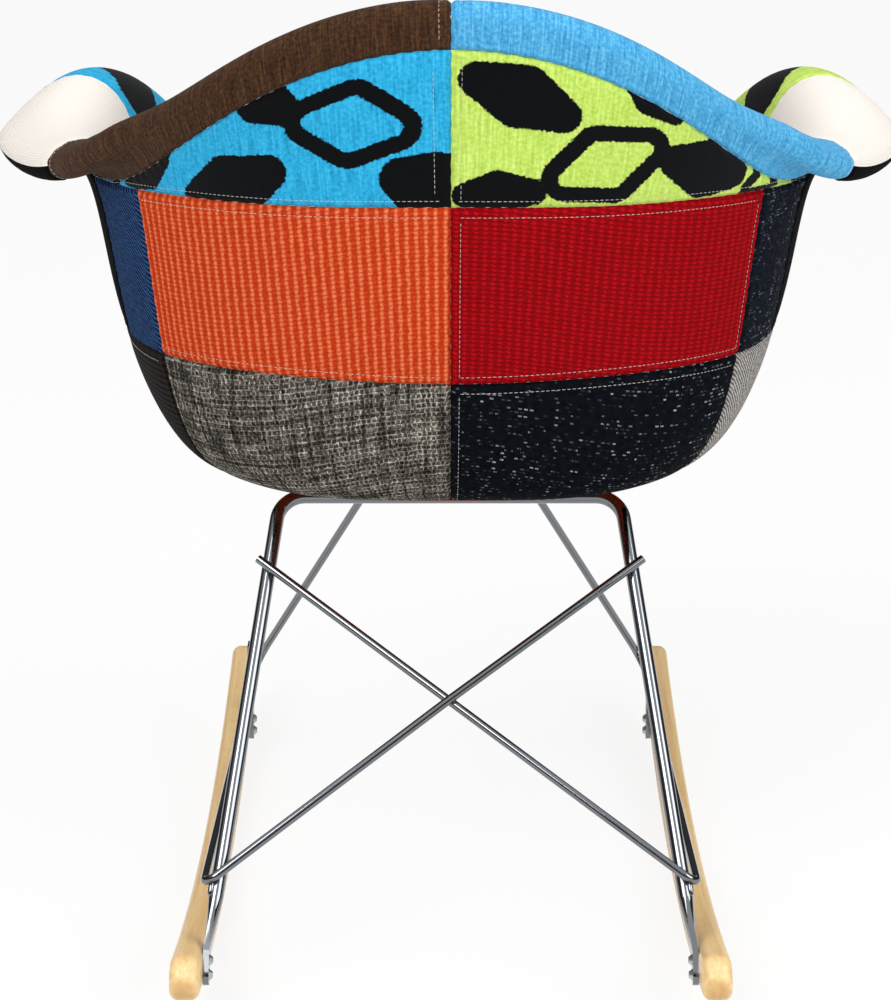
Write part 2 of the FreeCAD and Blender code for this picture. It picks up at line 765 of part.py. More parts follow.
def seam_place(angle, name):
    """Share of a seam: its own, or that of the edge of a border strip of some width."""
    if name.endswith("width"):
        return share_below_rim(angle, size(name))
    if name == "upper_seam":
        from_middle = (math.pi / 2 - angle) / (math.pi / 2 - math.radians(size("shoulder_angle")))
        return size(name) + size("upper_seam_rise") * from_middle ** 2
    return size(name)


def both_sides(name, shape):
    node(name + "_left", feature(name + "_l", shape))
    node(name + "_right", feature(name + "_r", mirrored(shape)))


def panels(panel_list, outer_depth):
    for name, start, end, low, high in panel_list:
        angles = seam_angles(start, end)
        count = rows_between(seam_place(angles[-1], low), seam_place(angles[-1], high))
        rows = [spaced(seam_place(angle, low) + seam_share, seam_place(angle, high) - seam_share, count)
                for angle in angles]
        skins = [Skin(layer_grid(angles, rows, depth), angles, spaced(0, 1, count))
                 for depth in (outer_depth, outer_depth + cover)]
        both_sides(name, panel_solid(*skins))


panels(OUTSIDE_PANELS, -cover_out - cover)
panels(INSIDE_PANELS, cover_in)

# Border strips fold round the rim: a leg outside, a round turn past the rim, and a leg inside.
LEG_STEP = 5
TURN_STEPS = 10


def border_leg(angle, width, depth):
    """Points of one leg, from its free edge up to the rim."""
    count = math.ceil(width / LEG_STEP)
    shares = spaced(share_below_rim(angle, width) + seam_share, 1, count)
    return [layer_point(angle, share, depth) for share in shares]


def border_section(angle, outside_width, inside_width, inset):
    """Points of one skin of a border across the rim; the inset is nothing on its outer skin."""
    outer_depth = -cover_out - cover + inset
    inner_depth = cover_in + cover - inset
    rim, outward, rise = shell_frame(angle, 1)
    middle = (outer_depth + inner_depth) / 2
    half = (inner_depth - outer_depth) / 2
    turn = []
    for step in spaced(0, math.pi, TURN_STEPS)[1:-1]:
        past = (size("border_bulge") - inset) * math.sin(step)
        turn.append(rim - outward * (middle - half * math.cos(step)) + rise * past)
    outside = border_leg(angle, outside_width, outer_depth)
    inside = border_leg(angle, inside_width, inner_depth)
    return outside + turn + inside[::-1]


def running_lengths(points):
    lengths = [0]
    for before, after in zip(points, points[1:]):
        lengths.append(lengths[-1] + before.distanceToPoint(after))
    return lengths


for name, start, end, outside, inside in BORDERS:
    angles = seam_angles(start, end)
    widths = size(outside), size(inside)
    ways = running_lengths(border_section(angles[0], *widths, cover / 2))
    skins = [Skin([border_section(angle, *widths, inset) for angle in angles], angles, ways)
             for inset in (0, cover)]
    both_sides(name, panel_solid(*skins))

doc.recompute()

for item in doc.Objects:
    if "Invalid" in item.State or "Error" in item.State:
        raise RuntimeError("%s failed: %s" % (item.Label, item.State))
for item in nodes:
    shape = item.Shape
    if shape.isNull() or not shape.isValid():
        raise RuntimeError("%s has no valid shape" % item.Label)
    shape.exportStep("parts/%s.step" % item.Label)
    print("%-24s %2d solid(s) %12.0f mm3" % (item.Label, len(shape.Solids), shape.Volume))
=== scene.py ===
import math

import bmesh
import bpy
import numpy as np
from mathutils import Matrix, Vector
from mathutils.bvhtree import BVHTree


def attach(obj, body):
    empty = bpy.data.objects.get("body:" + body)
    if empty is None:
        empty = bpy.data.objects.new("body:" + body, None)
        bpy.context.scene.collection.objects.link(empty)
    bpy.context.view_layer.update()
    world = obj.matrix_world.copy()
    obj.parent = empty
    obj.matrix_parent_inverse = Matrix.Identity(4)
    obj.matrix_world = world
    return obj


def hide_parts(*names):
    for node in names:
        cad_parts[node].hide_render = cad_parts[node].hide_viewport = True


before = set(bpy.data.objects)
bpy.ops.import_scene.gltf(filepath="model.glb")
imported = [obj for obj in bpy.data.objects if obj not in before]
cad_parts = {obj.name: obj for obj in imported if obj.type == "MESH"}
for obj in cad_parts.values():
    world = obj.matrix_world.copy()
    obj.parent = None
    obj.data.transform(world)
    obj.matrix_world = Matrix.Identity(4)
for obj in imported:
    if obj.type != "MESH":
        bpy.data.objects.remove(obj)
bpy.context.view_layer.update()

# Rockers: two arcs of steam-bent beech under clear satin lacquer, 29 mm high and 20 mm thick.
# The flattened ends of the legs and the front feet are screwed to their inner faces.
MM = 0.001


def linear(hex_code):
    """An sRGB hex colour as linear RGBA."""
    shares = [int(hex_code[i:i + 2], 16) / 255 for i in (1, 3, 5)]
    return [s / 12.92 if s <= 0.04045 else ((s + 0.055) / 1.055) ** 2.4 for s in shares] + [1.0]


def add_node(tree, kind, links=None, stops=(), **settings):
    """Adds one shader node; links gives its inputs, by name or number, as values or as sockets.
    Stops are the (place, hex colour) pairs of a colour ramp."""
    node = tree.nodes.new("ShaderNode" + kind)
    for name, value in settings.items():
        setattr(node, name, value)
    for key, value in (links or {}).items():
        if isinstance(value, bpy.types.NodeSocket):
            tree.links.new(value, node.inputs[key])
        else:
            node.inputs[key].default_value = value
    for index, (place, hex_code) in enumerate(stops):
        if index == len(node.color_ramp.elements):
            node.color_ramp.elements.new(place)
        node.color_ramp.elements[index].position = place
        node.color_ramp.elements[index].color = linear(hex_code)
    return node


def new_finish(name, **sockets):
    """A material with a principled shader, whose constant sockets are given by name."""
    finish = bpy.data.materials.new(name)
    finish.use_nodes = True
    shader = finish.node_tree.nodes["Principled BSDF"]
    for key, value in sockets.items():
        shader.inputs[key.replace("_", " ")].default_value = value
    return finish, finish.node_tree, shader


def dress(finish, *nodes):
    """Gives a finish to CAD nodes."""
    for node in nodes:
        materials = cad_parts[node].data.materials
        materials.clear()
        materials.append(finish)


def beech():
    """Pale straw wood, with fine darker streaks along the bend, browner end grain and a soft shine."""
    bend_radius = 1750 * MM
    finish, tree, shader = new_finish("lacquered_beech", Coat_Weight=0.25, Coat_Roughness=0.3)
    place = add_node(tree, "TexCoord").outputs["Object"]
    parts = add_node(tree, "SeparateXYZ", {0: place}).outputs
    square = add_node(tree, "Math", {0: parts[1], 1: parts[1]}, operation="MULTIPLY").outputs[0]
    drop = add_node(tree, "Math", {0: square, 1: 2 * bend_radius}, operation="DIVIDE").outputs[0]
    level = add_node(tree, "Math", {0: parts[2], 1: drop}, operation="SUBTRACT").outputs[0]
    straight = add_node(tree, "CombineXYZ", {0: parts[0], 1: parts[1], 2: level}).outputs[0]
    streak_width, streak_length = 3.5 * MM, 140 * MM
    along = add_node(tree, "Mapping", {0: straight, "Scale": (
        1 / streak_width, 1 / streak_length, 1 / streak_width)}).outputs[0]
    streaks = add_node(tree, "TexNoise", {
        "Vector": along, "Scale": 1, "Detail": 5, "Roughness": 0.62}).outputs[0]
    pore_width, pore_length = 0.6 * MM, 9 * MM
    pores_at = add_node(tree, "Mapping", {0: straight, "Scale": (
        1 / pore_width, 1 / pore_length, 1 / pore_width)}).outputs[0]
    pores = add_node(tree, "TexNoise", {"Vector": pores_at, "Scale": 1, "Detail": 2}).outputs[0]
    wood = add_node(tree, "ValToRGB", {0: streaks}, (
        (0.28, "#d6ae73"), (0.5, "#e4c287"), (0.72, "#edd099"))).outputs[0]
    flecks = add_node(tree, "ValToRGB", {0: pores}, ((0.30, "#b88f5a"), (0.42, "#ffffff"))).outputs[0]
    mixed = add_node(tree, "Mix", {0: 0.25, 6: wood, 7: flecks}, data_type="RGBA", blend_type="MULTIPLY")
    shine = add_node(tree, "MapRange", {0: streaks, 3: 0.38, 4: 0.52}).outputs[0]
    relief = add_node(tree, "Bump", {"Height": pores, "Strength": 0.25, "Distance": 0.1 * MM}).outputs[0]
    half_length, end_depth = 344 * MM, 3 * MM
    from_middle = add_node(tree, "Math", {0: parts[1]}, operation="ABSOLUTE").outputs[0]
    end_grain = add_node(tree, "MapRange", {
        0: from_middle, 1: half_length - end_depth, 2: half_length, 4: 0.7}).outputs[0]
    colour = add_node(tree, "Mix", {0: end_grain, 6: mixed.outputs[2], 7: linear("#b98d55")},
                      data_type="RGBA")
    tree.links.new(colour.outputs[2], shader.inputs["Base Color"])
    tree.links.new(shine, shader.inputs["Roughness"])
    tree.links.new(relief, shader.inputs["Normal"])
    return finish


dress(beech(), "rocker_left", "rocker_right")

# Rods and feet: mild steel rod, bent cold, hammered flat at the feet, welded and then chromed.
# The thick rod is the rear leg frame, and the two thin ones cross behind the seat.


def chrome():
    """A mirror of middling grey that shows the room in streaks, a little hazy where it was polished by hand."""
    finish, tree, shader = new_finish("bright_chrome", Base_Color=linear("#7c7f83"), Metallic=1.0)
    place = add_node(tree, "TexCoord").outputs["Object"]
    haze_size = 25 * MM
    haze = add_node(tree, "TexNoise", {"Vector": place, "Scale": 1 / haze_size, "Detail": 4}).outputs[0]
    polish = add_node(tree, "MapRange", {0: haze, 1: 0.3, 2: 0.7, 3: 0.05, 4: 0.14}).outputs[0]
    tree.links.new(polish, shader.inputs["Roughness"])
    return finish


bright_chrome = chrome()
dress(bright_chrome, "rear_leg_frame", "cradle_rod_left", "cradle_rod_right",
      "front_foot_left", "front_foot_right")

# Weld beads: smooth seams of metal where the rods meet each other, the front feet and the mount plates,
# ground down and chromed with the rods.
# Each has its place in mm on the left side, its way and its half length.
BEADS = (
    ((160.6, 271.2, 85.2), (-0.13, -0.62, 0.77), 6.5),
    ((127.2, 128.2, 266.2), (0.79, -0.39, 0.48), 7),
    ((160.2, -218, 84), (0, 0, 1), 6),
    ((23, -90.6, 311.2), (1, 0, 0), 8),
    ((23, -95.4, 311.2), (1, 0, 0), 8),
    ((42, 93.4, 310.6), (1, 0, 0), 11),
    ((42, 84.6, 310.6), (1, 0, 0), 11),
)


def new_piece(name, shape):
    """Makes an object of a shape and frees the shape."""
    piece = bpy.data.objects.new(name, bpy.data.meshes.new(name))
    shape.to_mesh(piece.data)
    shape.free()
    bpy.context.collection.objects.link(piece)
    return piece


def weld_beads():
    bead_radius = 2.2 * MM
    shape = bmesh.new()
    for side in (1, -1):
        for place, way, half_length in BEADS:
            middle = Vector((side * place[0], place[1], place[2])) * MM
            turn = Vector((side * way[0], way[1], way[2])).to_track_quat("Z", "Y").to_matrix().to_4x4()
            stretch = Matrix.Diagonal((bead_radius, bead_radius, half_length * MM, 1))
            bmesh.ops.create_uvsphere(shape, u_segments=12, v_segments=8, radius=1,
                                      matrix=Matrix.Translation(middle) @ turn @ stretch)
    for face in shape.faces:
        face.smooth = True
    beads = new_piece("weld_beads", shape)
    beads.data.materials.append(bright_chrome)
    return beads


beads = weld_beads()
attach(beads, "root")

# Seat mounts: pressed plates, hexagon bolts, washers, inserts and foot screws in zinc-plated steel,
# and black rubber pads between the plates and the seat.


def zinc():
    """Dull silver with a faint blotchy tint from the plating bath."""
    finish, tree, shader = new_finish("zinc_plate", Metallic=1.0)
    place = add_node(tree, "TexCoord").outputs["Object"]
    blotch_size = 6 * MM
    blotches = add_node(tree, "TexNoise", {
        "Vector": place, "Scale": 1 / blotch_size, "Detail": 3}).outputs[0]
    tint = add_node(tree, "ValToRGB", {0: blotches}, ((0.3, "#a9adb3"), (0.7, "#c6c7c4"))).outputs[0]
    dullness = add_node(tree, "MapRange", {0: blotches, 3: 0.28, 4: 0.45}).outputs[0]
    tree.links.new(tint, shader.inputs["Base Color"])
    tree.links.new(dullness, shader.inputs["Roughness"])
    return finish


def moulded(name, roughness, grain_size, dark, light):
    """A plain moulding with a fine grain all over."""
    finish, tree, shader = new_finish(name, Roughness=roughness)
    place = add_node(tree, "TexCoord").outputs["Object"]
    grain = add_node(tree, "TexNoise", {"Vector": place, "Scale": 1 / grain_size}).outputs[0]
    tone = add_node(tree, "ValToRGB", {0: grain}, ((0.3, dark), (0.7, light))).outputs[0]
    relief = add_node(tree, "Bump", {"Height": grain, "Strength": 0.4, "Distance": 0.1 * MM}).outputs[0]
    tree.links.new(tone, shader.inputs["Base Color"])
    tree.links.new(relief, shader.inputs["Normal"])
    return finish


dress(zinc(), "rear_mount_plate_left", "rear_mount_plate_right", "front_mount_bar",
      "seat_bolts", "mount_washers", "seat_inserts", "foot_screws")
# Matt black rubber.
dress(moulded("black_rubber", 0.8, 1.2 * MM, "#141415", "#222223"), "mount_pads")

# Seat shell: one moulding of waxy off-white polypropylene, 5 mm thick, with threaded inserts in its floor.
# It is hidden between the two covers.
dress(moulded("polypropylene", 0.45, 0.9 * MM, "#dedbd3", "#e9e7e1"), "seat_shell")

# Upper back panels: chenille with a dark print, over thin wadding on the outer face of the shell.
# All the covers are patches sewn to each other and topstitched, and lie on a surface through the
# shell's sections. Each section has its direction, then radius and rise of foot, wall, crest and rim.
SEAT_AXIS_Y = -35
FLOOR_HEIGHT = 318
FLOOR_OVAL = (120, 118)
FLOOR_OFFSET = 28
FLOOR_BLEND = 0.6
SECTIONS = (
    (-90, 208, 14, 252, 74, 276, 100, 282, 78),
    (-62, 222, 16, 260, 80, 288, 116, 296, 88),
    (-30, 238, 24, 256, 107, 254, 272, 319, 173),
    (-2, 212, 21, 250, 133, 256, 270, 312, 210),
    (28, 223, 19, 254, 132, 262, 239, 280, 223),
    (60, 232, 15, 247, 136, 268, 248, 288, 301),
    (90, 207, 15, 245, 131, 264, 258, 277, 346),
)
KEY_COUNT = 2 * (len(SECTIONS) - 1)
KNOTS = np.array((0, 0, 0, 0, 1 / 3, 2 / 3, 1, 1, 1, 1))
# Seams: angles in degrees from +X towards the back, shares of the way from floor to rim, and widths in mm.
SHOULDER, FLANK, ARM_SEAM, FRONT = 23, 38, -10, -38
BACK_MIDDLE, FRONT_MIDDLE = 90, -90
FLOOR_SEAM, LOWER_SEAM, UPPER_SEAM = 0.12, 0.555, 0.815
UPPER_SEAM_RISE = 0.06
BORDER, ARM_BORDER, ARM_LIP = 22, 95, 5
# Depths in mm of the outer and the inner cover's faces, inside (+) or outside (-) of the shell's outer face.
OUTER_FACE, INNER_FACE = -2.6, 20


def key_section(index):
    """The six guide points of one section, counted round from the front; the right half mirrors the left."""
    direction, *guides = SECTIONS[min(index, KEY_COUNT - index)]
    side = 1 if index <= KEY_COUNT // 2 else -1
    ray = np.array((side * math.cos(math.radians(direction)), math.sin(math.radians(direction)), 0))
    axis = np.array((0, SEAT_AXIS_Y, FLOOR_HEIGHT))
    points = [axis + ray * radius + (0, 0, rise) for radius, rise in zip(guides[::2], guides[1::2])]
    floor_edge = axis + (ray[0] * FLOOR_OVAL[0], ray[1] * FLOOR_OVAL[1] + FLOOR_OFFSET, 0)
    level_foot = points[0] * (1, 1, 0) + (0, 0, FLOOR_HEIGHT)
    return [floor_edge, floor_edge + (level_foot - floor_edge) * FLOOR_BLEND] + points


GUIDES = np.array([key_section(index) for index in range(KEY_COUNT)])


def shell_points(angles, shares):
    """Points in mm on the shell's outer face: angles round the seat from +X, shares from floor to rim."""
    turns = np.asarray(angles)[:, None] + math.pi / 2 - np.arange(KEY_COUNT) * 2 * math.pi / KEY_COUNT
    turns = (turns + math.pi) % (2 * math.pi) - math.pi
    turns = np.where(abs(turns) < 1e-9, 1e-9, turns)
    round_weights = np.sin(KEY_COUNT * turns / 2) / (KEY_COUNT * np.tan(turns / 2))
    way = np.clip(np.asarray(shares), 0, 1 - 1e-9)[:, None]
    up_weights = ((KNOTS[:-1] <= way) & (way < KNOTS[1:])).astype(float)
    for degree in (1, 2, 3):
        span = np.maximum(KNOTS[degree:] - KNOTS[:-degree], 1e-12)
        rise = (way - KNOTS[:-degree]) / span
        up_weights = rise[:, :-1] * up_weights[:, :-1] + (1 - rise[:, 1:]) * up_weights[:, 1:]
    return np.einsum("nk,nr,krc->nc", round_weights, up_weights, GUIDES)


def layer(angles, shares, depth):
    """Points in mm at a depth inside (+) or outside (-) of the shell's outer face."""
    step = 1e-4
    turn = shell_points(angles + step, shares) - shell_points(angles - step, shares)
    rise = shell_points(angles, shares + step) - shell_points(angles, shares - step)
    outward = np.cross(turn, rise)
    outward /= np.linalg.norm(outward, axis=1)[:, None]
    return shell_points(angles, shares) - outward * depth


def run_lengths(line):
    """The length run through at each point of a line."""
    return np.concatenate(((0,), np.cumsum(np.linalg.norm(np.diff(line, axis=0), axis=1))))


def section_lengths(angle):
    """Shares up one section and the length in mm run through at each."""
    shares = np.linspace(0, 1, 241)
    return shares, run_lengths(shell_points(np.full(len(shares), angle), shares))


def seam_length(angle, seam):
    """Length up a section to a seam: a share of the section, or so many mm short of the rim."""
    shares, lengths = section_lengths(angle)
    if seam == UPPER_SEAM:
        from_middle = (BACK_MIDDLE - math.degrees(angle)) / (BACK_MIDDLE - SHOULDER)
        seam += UPPER_SEAM_RISE * from_middle ** 2
    return np.interp(seam, shares, lengths) if seam < 1 else lengths[-1] - seam


def spread(length):
    """Distances across a patch: close together at its two edges, where the cloth turns in, then even."""
    edge = np.array((0, 0.8, 1.8, 3.2, 4.8, 6.2, 8.2))
    even_step = 6
    steps = max(2, round((length - 2 * edge[-1]) / even_step))
    even = np.linspace(edge[-1], length - edge[-1], steps + 1)[1:-1]
    return np.concatenate((edge, even, length - edge[::-1]))


patterns = {}
pieces = {}


def patch(name, start, end, low, high, depth):
    """Lays out one patch between two angles and two seams: points in mm, and their places on the flat cloth.
    A patch of the inner cover is laid out from its other side, so that it too faces out of the padding."""
    first, last = math.radians(start), math.radians(end)
    middle = np.full(1, (first + last) / 2)
    radius = np.linalg.norm((layer(middle, np.full(1, 0.6), depth)[0] - (0, SEAT_AXIS_Y, 0))[:2])
    across = spread((last - first) * radius)
    up = spread(seam_length(middle[0], high) - seam_length(middle[0], low))
    angles = np.interp(across, (0, across[-1]), (first, last) if depth < 0 else (last, first))
    points, places = [], []
    for angle, run in zip(angles, across):
        shares, lengths = section_lengths(angle)
        rises = np.interp(up, (0, up[-1]), (seam_length(angle, low), seam_length(angle, high)))
        points.append(layer(np.full(len(up), angle), np.interp(rises, lengths, shares), depth))
        places.append(np.stack((np.full(len(up), run), rises), axis=1))
    patterns[name] = np.array(points), np.array(places)


def both_sides(sewn):
    """Names and angles of a patch on the left and of its mirror image on the right."""
    name, start, end, *rest = sewn
    return (name + "_left", start, end, *rest), (name + "_right", 180 - end, 180 - start, *rest)


def cut_and_sew(name):
    """Makes the sheet of a patch, drawn in at its seams and pinned along them."""
    points, places = patterns[name]
    columns, rows = points.shape[:2]
    sides = np.minimum(places[:, :, 0], places[-1, 0, 0] - places[:, :, 0])
    ends = np.minimum(places[:, :, 1] - places[:, :1, 1], places[:, -1:, 1] - places[:, :, 1])
    to_seam = np.minimum(sides, ends)
    outward = np.cross(np.gradient(points, axis=0), np.gradient(points, axis=1))
    outward /= np.linalg.norm(outward, axis=2)[:, :, None]
    seam_dip, stitch_dip, stitch_inset, crown, pinned_width = 2.3, 0.5, 6.2, 0.8, 7.5
    height = crown * (1 - np.exp(-to_seam / 22)) - seam_dip * np.exp(-(to_seam / 1.7) ** 2)
    height -= stitch_dip * np.exp(-((to_seam - stitch_inset) / 1.5) ** 2)
    points = points + outward * height[:, :, None]
    shape = bmesh.new()
    bmesh.ops.create_grid(shape, x_segments=columns - 1, y_segments=rows - 1, size=1)
    flat_places = shape.loops.layers.uv.new("flat")
    seams = shape.verts.layers.float.new("to_seam")
    pins = shape.verts.layers.deform.new()
    where = {}
    for vert in shape.verts:
        i = round((vert.co.x + 1) / 2 * (columns - 1))
        j = round((vert.co.y + 1) / 2 * (rows - 1))
        where[vert] = places[i, j] * MM
        vert.co = points[i, j] * MM
        vert[seams] = to_seam[i, j]
        vert[pins][0] = 1.0 if to_seam[i, j] < pinned_width else 0.0
    for face in shape.faces:
        face.smooth = True
        for loop in face.loops:
            loop[flat_places].uv = where[loop.vert]
    piece = new_piece(name + "_cover", shape)
    piece.vertex_groups.new(name="sewn")
    pieces[name] = piece


def swell(group):
    """Presses the wadding out between the pinned seams by a cloth simulation, and caps how far it goes."""
    most = 2.2 * MM
    pressure, frames = 4, 20
    for piece in group:
        cloth = piece.modifiers.new("wadding", "CLOTH")
        cloth.settings.vertex_group_mass = "sewn"
        cloth.settings.effector_weights.gravity = 0
        cloth.settings.use_pressure = True
        cloth.settings.uniform_pressure_force = pressure
    scene = bpy.context.scene
    for step in range(1, frames + 1):
        scene.frame_set(step)
    depsgraph = bpy.context.evaluated_depsgraph_get()
    for piece in group:
        rest = np.empty(3 * len(piece.data.vertices), np.float32)
        pressed = rest.copy()
        piece.data.vertices.foreach_get("co", rest)
        piece.evaluated_get(depsgraph).data.vertices.foreach_get("co", pressed)
        moved = (pressed - rest).reshape(-1, 3)
        far = np.linalg.norm(moved, axis=1)[:, None]
        moved *= most * np.tanh(far / most) / np.maximum(far, 1e-9)
        piece.modifiers.clear()
        piece.data.vertices.foreach_set("co", rest + moved.ravel())
    scene.frame_set(1)


def settle(piece):
    """Replaces a piece's mesh by what its modifiers make of it."""
    depsgraph = bpy.context.evaluated_depsgraph_get()
    mesh = bpy.data.meshes.new_from_object(piece.evaluated_get(depsgraph), preserve_all_data_layers=True,
                                           depsgraph=depsgraph)
    piece.modifiers.clear()
    piece.data = mesh


def thicken(piece):
    """Gives a cloth its thickness, inwards from its face."""
    sheet = piece.modifiers.new("sheet", "SOLIDIFY")
    sheet.thickness = 1.2 * MM
    sheet.offset = -1
    settle(piece)


def flat_places(mesh):
    """Each vertex's place on the flat cloth, in mm."""
    corners = np.empty(len(mesh.loops), np.int32)
    mesh.loops.foreach_get("vertex_index", corners)
    loop_places = np.empty(2 * len(mesh.loops), np.float32)
    mesh.uv_layers["flat"].uv.foreach_get("vector", loop_places)
    places = np.empty((len(mesh.vertices), 2), np.float32)
    places[corners] = loop_places.reshape(-1, 2) / MM
    return places.T


def no_ribs(across, up):
    return 0


def upholster(finish, names, levels=1, ribs=no_ribs):
    """Pads out sewn patches, smooths them, works ribs and seam puckers in, and hands them over as pieces."""
    for name in names:
        cut_and_sew(name)
    swell([pieces[name] for name in names])
    for name in names:
        piece = pieces[name]
        smooth = piece.modifiers.new("smooth", "SUBSURF")
        smooth.levels = smooth.render_levels = levels
        smooth.boundary_smooth = "PRESERVE_CORNERS"
        settle(piece)
        mesh = piece.data
        across, up = flat_places(mesh)
        to_seam = np.empty(len(mesh.vertices), np.float32)
        mesh.attributes["to_seam"].data.foreach_get("value", to_seam)
        points = np.empty(3 * len(mesh.vertices), np.float32)
        outward = points.copy()
        mesh.vertices.foreach_get("co", points)
        mesh.vertex_normals.foreach_get("vector", outward)
        pucker_height, pucker_pitch = 0.3, 11
        pucker = (pucker_height * np.exp(-(to_seam / 5) ** 2)
                  * np.sin((across + up) * 2 * math.pi / pucker_pitch))
        uneven = 0.35 * np.sin(across / 31 + 1) * np.sin(up / 23 + 2)
        inside_seam = 1 - np.exp(-(to_seam / 3) ** 2)
        height = pucker + (uneven + ribs(across, up)) * inside_seam
        mesh.vertices.foreach_set("co", points + outward * np.repeat(height * MM, 3))
        thicken(piece)
        piece.data.materials.append(finish)
        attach(piece, "root")
        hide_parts(name)


stitching = bmesh.new()


def topstitch(name, side, inset=6.2):
    """Adds a row of stitches to a patch, along one of its seams, at an inset in mm."""
    pitch, length, thickness, sunk = 3.6, 2.7, 0.21, 0.05
    points, places = patterns[name]
    if side in ("low", "high"):
        points, places = points.transpose(1, 0, 2), places.transpose(1, 0, 2)[:, :, ::-1]
    if side in ("end", "high"):
        points, places = points[::-1], places[::-1]
    runs = abs(places[:, :, 0] - places[0, :, 0])
    line = np.array([[np.interp(inset, runs[:, i], points[:, i, axis]) for axis in range(3)]
                     for i in range(points.shape[1])])
    way = run_lengths(line)
    surface = BVHTree.FromObject(pieces[name], bpy.context.evaluated_depsgraph_get())

    def on_cloth(run):
        near = Vector([np.interp(run, way, line[:, axis]) * MM for axis in range(3)])
        place, outward = surface.find_nearest(near)[:2]
        return place + outward * (thickness - sunk) * MM

    for start in np.arange(inset, way[-1] - inset - length, pitch):
        first, last = on_cloth(start), on_cloth(start + length)
        turn = (last - first).to_track_quat("Z", "Y").to_matrix().to_4x4()
        stretch = Matrix.Diagonal((thickness * MM, thickness * MM, (last - first).length / 2, 1))
        bmesh.ops.create_uvsphere(stitching, u_segments=6, v_segments=4, radius=1,
                                  matrix=Matrix.Translation((first + last) / 2) @ turn @ stretch)


def new_cloth(name, sheen=0.0):
    """A matt, slightly fuzzy finish, and the place on the flat cloth, in metres, for its weave."""
    finish, tree, shader = new_finish(name, Roughness=0.95, Specular_IOR_Level=0.05,
                                      Sheen_Weight=sheen, Sheen_Roughness=0.5)
    return finish, tree, shader, add_node(tree, "UVMap", uv_map="flat").outputs[0]


def show_weave(tree, shader, colour, height, depth):
    """Links a weave's colour, and its height with a depth in mm."""
    relief = add_node(tree, "Bump", {"Height": height, "Strength": 1, "Distance": depth * MM}).outputs[0]
    tree.links.new(colour, shader.inputs["Base Color"])
    tree.links.new(relief, shader.inputs["Normal"])


def chenille(name, dark, middle, light, ink=None):
    """Velvety pile in streaks up the cloth, with a soft sheen; ink adds a dark print with a fuzzy edge."""
    finish, tree, shader, flat = new_cloth(name, sheen=0.06)
    streak_width, streak_length = 1.6 * MM, 24 * MM
    along = add_node(tree, "Mapping", {0: flat, "Scale": (1 / streak_width, 1 / streak_length, 1)}).outputs[0]
    streaks = add_node(tree, "TexNoise", {"Vector": along, "Scale": 1, "Detail": 3}).outputs[0]
    # The pile's tufts are about 1 mm; they are drawn at 2.4 mm, so that they show from a distance.
    tuft_size = 2.4 * MM
    tufts = add_node(tree, "TexNoise", {"Vector": flat, "Scale": 1 / tuft_size, "Detail": 2}).outputs[0]
    pile = add_node(tree, "Mix", {0: 0.45, 2: streaks, 3: tufts}).outputs[0]
    colour = add_node(tree, "ValToRGB", {0: pile}, ((0.34, dark), (0.5, middle), (0.66, light))).outputs[0]
    if ink:
        from_edge = add_node(tree, "Attribute", attribute_name="print").outputs["Fac"]
        fuzz = add_node(tree, "MapRange", {0: tufts, 1: 0.25, 2: 0.75, 3: -0.8, 4: 0.8}).outputs[0]
        ragged = add_node(tree, "Math", {0: from_edge, 1: fuzz}, operation="ADD").outputs[0]
        inked = add_node(tree, "MapRange", {0: ragged, 1: 0.4, 2: -0.4}).outputs[0]
        colour = add_node(tree, "Mix", {0: inked, 6: colour, 7: linear(ink)}, data_type="RGBA").outputs[2]
    show_weave(tree, shader, colour, pile, 0.5)
    return finish


def lozenge(across, up, motif):
    """Distance in mm from the edge of a round-cornered lozenge, less than nothing inside it.
    A motif has its middle, half width, half height, turn in degrees, and the width of its line if hollow."""
    x, y, half_width, half_height, turn, line = motif
    way = math.radians(turn)
    along = abs((across - x) * math.cos(way) + (up - y) * math.sin(way))
    beside = abs((up - y) * math.cos(way) - (across - x) * math.sin(way))
    corner = 0.55 * half_height
    width, height = half_width - corner, half_height - corner
    slack = np.clip((height ** 2 - width ** 2 + 2 * (width * along - height * beside))
                    / (width ** 2 + height ** 2), -1, 1)
    nearest = np.hypot(along - width * (1 + slack) / 2, beside - height * (1 - slack) / 2)
    inside = np.sign(along * height + beside * width - width * height)
    distance = nearest * inside - corner
    return abs(distance + line / 2) - line / 2 if line else distance


def print_motifs(name, edge, motifs):
    """Lays the print on a patch: the distance from the nearest motif's edge, at each vertex.
    The motifs are placed from one edge of the patch, its start or its end, and from its lowest row there."""
    mesh = pieces[name].data
    across, up = flat_places(mesh)
    run, low = patterns[name][1][0 if edge == "start" else -1, 0]
    across, up = abs(across - run), up - low
    from_edge = np.min([lozenge(across, up, motif) for motif in motifs], axis=0)
    mesh.attributes.new("print", "FLOAT", "POINT").data.foreach_set("value", from_edge.astype(np.float32))


cyan_print = chenille("cyan_print", "#1a80aa", "#279cca", "#3ab0d8", ink="#06080b")
lime_print = chenille("lime_print", "#9ab945", "#b0cc5c", "#c8de79", ink="#06080b")
for name, *limits in both_sides(("back_upper", SHOULDER, BACK_MIDDLE, UPPER_SEAM, BORDER, OUTER_FACE)):
    patch(name, *limits)
upholster(cyan_print, ["back_upper_left"], levels=2)
upholster(lime_print, ["back_upper_right"], levels=2)
